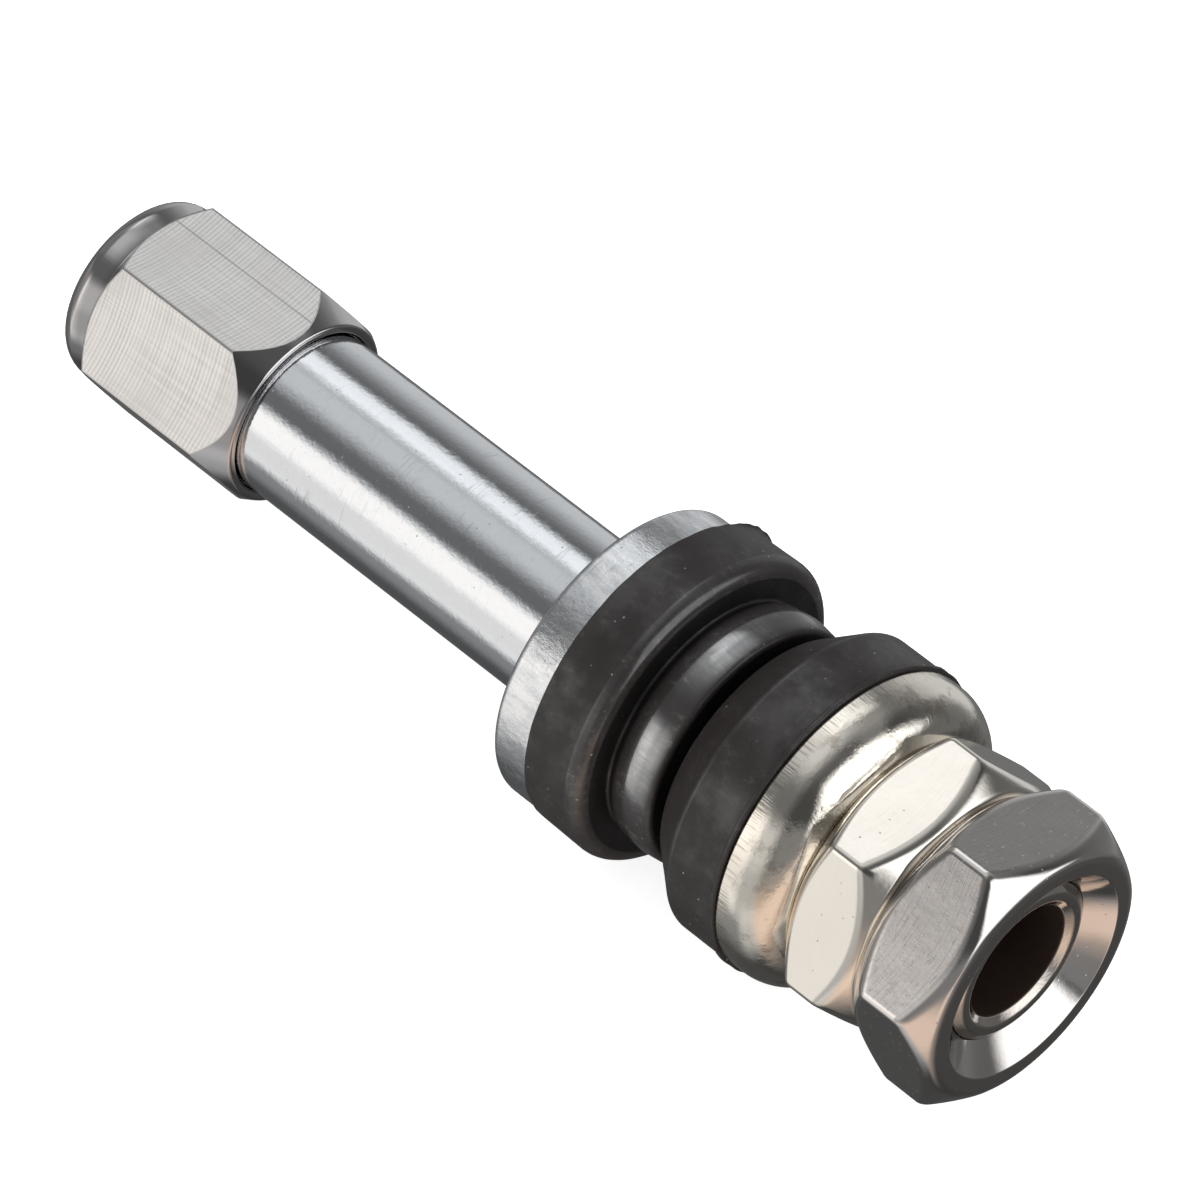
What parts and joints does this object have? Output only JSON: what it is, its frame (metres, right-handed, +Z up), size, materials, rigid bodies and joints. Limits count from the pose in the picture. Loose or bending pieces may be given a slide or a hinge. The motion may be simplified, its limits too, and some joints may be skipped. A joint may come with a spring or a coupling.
{
  "type": "tyre valve",
  "caption": "Bolt-in metal tyre valve with a hex dust cap, smooth chromed stem, rubber grommets, domed washer, clamp nut and lock nut, and a sprung valve core inside.",
  "frame": {"origin": "on the valve's axis, in the plane where the outer grommet's face meets the wheel rim", "axes": "+X runs along the valve's axis from the cap to the threaded tail, +Z is up with the cap's flat lying level, and the valve lies on its side"},
  "size_m": [0.0706, 0.02, 0.02],
  "materials": {
    "stem_chrome": "polished chrome plating",
    "cap_chrome": "brushed flats, polished top",
    "washer_nickel": "bright nickel plating",
    "nut_nickel": "bright nickel plating over brass",
    "grommet_rubber": "satin moulded rubber",
    "seal_rubber": "matt rubber",
    "core_brass": "turned brass",
    "spring_steel": "drawn wire"
  },
  "bodies": {
    "stem": {"valve_stem": "stem_chrome", "outer_grommet": "grommet_rubber", "core_plug": "core_brass", "core_barrel": "core_brass", "core_barrel_seal": "seal_rubber", "core_spring": "spring_steel"},
    "seal": {"cap_seal": "seal_rubber"},
    "cap": {"dust_cap": "cap_chrome"},
    "clamp": {"inner_grommet": "grommet_rubber", "cup_washer": "washer_nickel"},
    "nuts": {"hex_nut": "nut_nickel", "lock_nut": "nut_nickel"},
    "core": {"core_pin": "core_brass", "core_cup": "core_brass", "core_cup_seal": "seal_rubber"}
  },
  "joints": [
    {"name": "cap_travel", "type": "slide", "parent": "stem", "child": "seal", "axis": [-1, 0, 0], "range_m": [0, 0.0127]},
    {"name": "cap_turn", "type": "hinge", "parent": "seal", "child": "cap", "pos_m": [-0.039, 0, 0], "axis": [-1, 0, 0], "range_deg": [0, 5760]},
    {"name": "clamp_travel", "type": "slide", "parent": "stem", "child": "clamp", "axis": [1, 0, 0], "range_m": [0, 0.021]},
    {"name": "nut_turn", "type": "hinge", "parent": "clamp", "child": "nuts", "pos_m": [0.019, 0, 0], "axis": [1, 0, 0], "range_deg": [0, 7560]},
    {"name": "core_press", "type": "slide", "parent": "stem", "child": "core", "axis": [1, 0, 0], "range_m": [0, 0.0015], "stiffness_N_per_m": 800, "springref_m": -0.002, "deforming": ["core_spring"]}
  ],
  "couplings": [
    {"joint": "cap_turn", "follows": "cap_travel", "rad_per_m": 7915.8},
    {"joint": "nut_turn", "follows": "clamp_travel", "rad_per_m": 6283.2}
  ]
}
